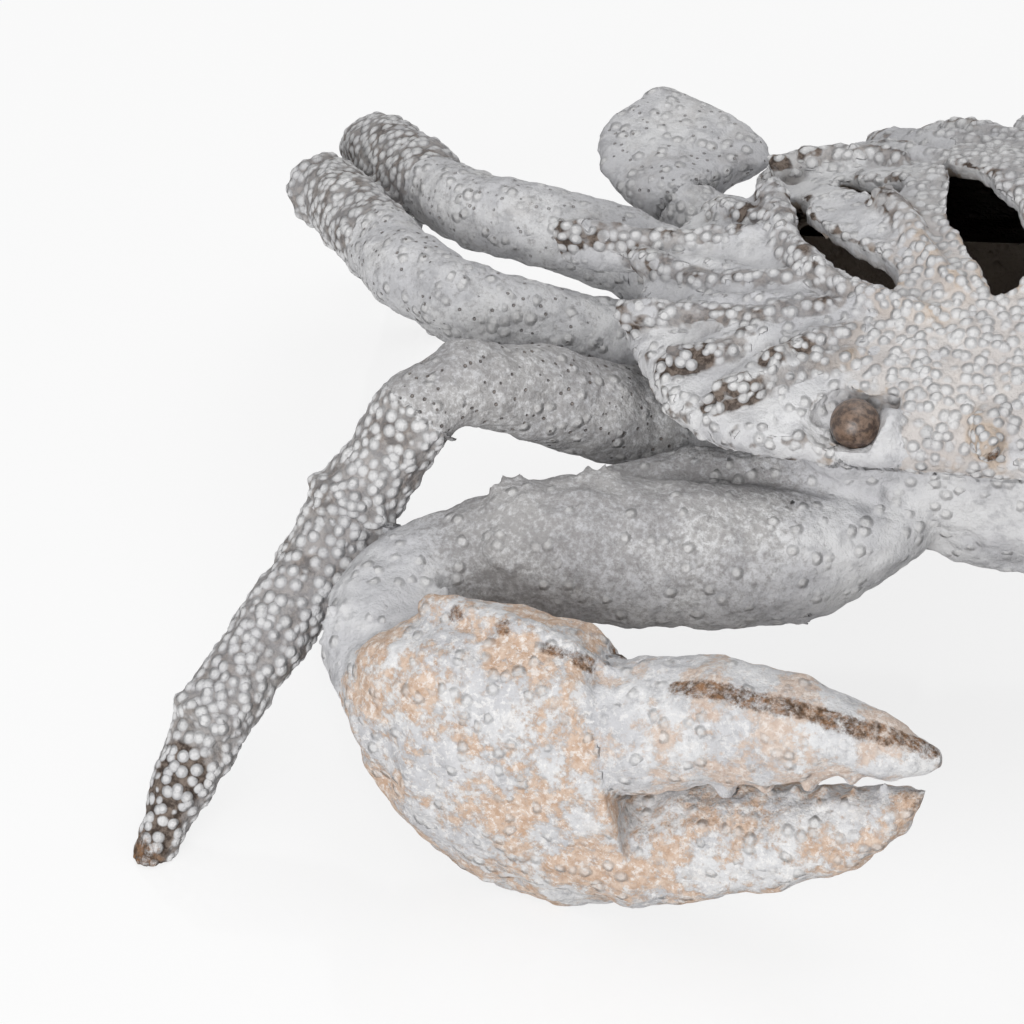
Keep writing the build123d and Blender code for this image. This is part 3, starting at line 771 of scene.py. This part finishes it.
# Painted shade: a cool grey in the broad hollows between the ribs, where the crest map sinks.
painted_shade_in_hollows = slope(mask("crest"), -1.1, -0.15, 0.5, 0)
stained = mixed(painted_shade_in_hollows, stained, paint("#8b8582"))
scuffs = math_of("MULTIPLY", noise(1.3, 8, 0.8), 1.1)
worn = math_of("ADD", math_of("MULTIPLY", mask("brown"), 0.65), scuffs)
brown_share = slope(worn, 0.98, 1.3)
brown_paint = mixed(slope(specks, 0.42, 0.62), paint("#54402f"), paint("#8f6c4f"))
stained = mixed(brown_share, stained, brown_paint)
# The hollow inside turns darker brown: partly the unpainted inside, partly painted shade.
stained = mixed(slope(mask("inside"), 0.3, 0.9), stained, paint("#a89c91"))

height = math_of("SUBTRACT", math_of("MULTIPLY", dome, 1.15), math_of("MULTIPLY", pit, 0.9))
height = math_of("ADD", height, math_of("MULTIPLY", mottle, 1.1))
height = math_of("ADD", height, math_of("MULTIPLY", fine, 0.4))
height = math_of("SUBTRACT", height, math_of("MULTIPLY", bare, 0.1))
relief = node(tree_, "ShaderNodeBump", {"Strength": 1.0, "Distance": 0.7 * mm, "Height": height})
tree_.links.new(stained, shader.inputs["Base Color"])
tree_.links.new(relief.outputs["Normal"], shader.inputs["Normal"])
shader.inputs["Roughness"].default_value = 0.78
shader.inputs["IOR"].default_value = 1.5
shader.inputs["Specular IOR Level"].default_value = 0.3
for name, piece in pieces.items():
    piece.data.materials.clear()
    piece.data.materials.append(resin)
print("resin nodes:", len(tree_.nodes))

# %% [markdown]
# ## The eye beads
# The bead is a turned ball that was painted brown and given a satin clear coat. A fine
# sphere in the place of the faceted solid shows its round highlight, and streaks of a
# millimetre show the brush.

# %% Make the eye beads
bead_paint, tree_, shader = new_material("brown bead paint")
spot = node(tree_, "ShaderNodeTexCoord").outputs["Object"]
streaks = noise(1.1, 4, 0.6)
tone = mixed(slope(streaks, 0.35, 0.65), paint("#3b2b22"), paint("#7a6454"))
tree_.links.new(tone, shader.inputs["Base Color"])
relief = node(tree_, "ShaderNodeBump", {"Strength": 0.6, "Distance": 0.2 * mm, "Height": streaks})
tree_.links.new(relief.outputs["Normal"], shader.inputs["Normal"])
shader.inputs["Roughness"].default_value = 0.35
shader.inputs["Coat Weight"].default_value = 0.35
shader.inputs["Coat Roughness"].default_value = 0.25
for name in beads:
    low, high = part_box(name)
    middle = [(a + b) / 2 for a, b in zip(low, high)]
    outer = 1 if name.endswith("left") else -1
    radius = (high[2] - low[2]) / 2 - 0.05 * mm
    bpy.ops.object.select_all(action="DESELECT")
    bpy.ops.mesh.primitive_uv_sphere_add(
        segments=48,
        ring_count=24,
        radius=radius,
        location=(low[0] + radius if outer < 0 else high[0] - radius, middle[1], middle[2]),
        rotation=(0, math.radians(90), 0),
    )
    piece = bpy.context.object
    bpy.ops.object.transform_apply(location=True, rotation=True, scale=True)
    piece.name = name + "_cast"
    piece.data.materials.append(bead_paint)
    bpy.ops.object.shade_smooth()
    pieces[name] = piece
print("bead radius in mm:", round(radius / mm, 2))

# %% [markdown]
# ## The wire pins
# The pins are plain drawn steel wire. They are sealed in the castings and never show, so
# they keep their solids and only get a drawn finish with fine lines along the wire.

# %% Make the drawn wire
wire, tree_, shader = new_material("drawn steel wire")
spot = node(tree_, "ShaderNodeTexCoord").outputs["Object"]
lines = noise(0.3, 2)
tree_.links.new(mixed(lines, paint("#8d8d8f"), paint("#b5b5b8")), shader.inputs["Base Color"])
relief = node(tree_, "ShaderNodeBump", {"Distance": 0.02 * mm, "Height": lines})
tree_.links.new(relief.outputs["Normal"], shader.inputs["Normal"])
shader.inputs["Metallic"].default_value = 1
shader.inputs["Roughness"].default_value = 0.35
for name in hidden_pins:
    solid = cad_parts[name]
    solid.data.materials.clear()
    solid.data.materials.append(wire)

# %% [markdown]
# ## Join the pieces to the model
# Every piece stands for the solid of the same name, which is hidden, and rides on one root empty.

# %% Hide the solids and let the pieces ride
for name, piece in pieces.items():
    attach(piece, "root")
    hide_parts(name)
print("pieces:", len(pieces), "faces:", sum(len(p.data.polygons) for p in pieces.values()))

# %% [markdown]
# ## The white table
# The photograph has a white, faintly glossy table. The white comes from the world and the
# floor as the camera sees them, and not from more light on the crab.

# %% Build the floor
bpy.ops.object.select_all(action="DESELECT")
bpy.ops.mesh.primitive_plane_add(size=6, location=(0, 0, -0.0002))
floor = bpy.context.object
floor.name = "floor"
card, tree_, shader = new_material("white table card")
shader.inputs["Base Color"].default_value = paint("#f4f4f4")
shader.inputs["Roughness"].default_value = 0.1
shader.inputs["IOR"].default_value = 1.9
white = node(tree_, "ShaderNodeEmission", {"Color": (1, 1, 1, 1), "Strength": 1})
shade = node(tree_, "ShaderNodeBsdfDiffuse", {"Color": paint("#cfcfcf")})
seen = node(tree_, "ShaderNodeLightPath")
white_share = 0.8
whitened = node(
    tree_,
    "ShaderNodeMath",
    {0: seen.outputs["Is Camera Ray"], 1: white_share},
    operation="MULTIPLY",
)
looked_at = node(
    tree_,
    "ShaderNodeMixShader",
    {0: whitened.outputs[0], 1: shader.outputs[0], 2: white.outputs[0]},
)
table = node(
    tree_,
    "ShaderNodeMixShader",
    {0: seen.outputs["Is Diffuse Ray"], 1: looked_at.outputs[0], 2: shade.outputs[0]},
)
tree_.links.new(table.outputs[0], tree_.nodes["Material Output"].inputs["Surface"])
floor.data.materials.append(card)

# %% [markdown]
# ## The lamps
# A broad square lamp overhead lights the backs of the legs and the shell, and a stronger one
# low in front fills the claws. The world gives the rest, at a lower level than the white
# that the camera sees.

# %% Light the studio
world = bpy.data.worlds.new("studio")
bpy.context.scene.world = world
world.use_nodes = True
sky = world.node_tree
seen = node(sky, "ShaderNodeLightPath")
direct = seen.outputs["Is Camera Ray"]
for kind in ("Is Glossy Ray", "Is Transmission Ray"):
    either = node(sky, "ShaderNodeMath", {0: direct, 1: seen.outputs[kind]}, operation="MAXIMUM")
    direct = either.outputs[0]
level = node(sky, "ShaderNodeMapRange", {"Value": direct, "To Min": 0.42, "To Max": 1.0})
backdrop = sky.nodes["Background"]
backdrop.inputs["Color"].default_value = (1, 1, 1, 1)
sky.links.new(level.outputs["Result"], backdrop.inputs["Strength"])


def lamp(name, place, size, power, aim):
    """A square soft lamp that points at a place."""
    bpy.ops.object.select_all(action="DESELECT")
    bpy.ops.object.light_add(type="AREA", location=place)
    made = bpy.context.object
    made.name = name
    made.data.shape = "SQUARE"
    made.data.size = size
    made.data.energy = power
    made.rotation_euler = (Vector(aim) - Vector(place)).to_track_quat("-Z", "Y").to_euler()
    print(name, "lamp:", power, "watts")


middle_of_view = (-0.05, 0, 0.04)
lamp("overhead", (0.10, 0.15, 0.95), 0.8, 3.0, middle_of_view)
lamp("front", (-0.10, -1.0, 0.36), 0.7, 7.6, middle_of_view)

scene = bpy.context.scene
scene.view_settings.view_transform = "Standard"
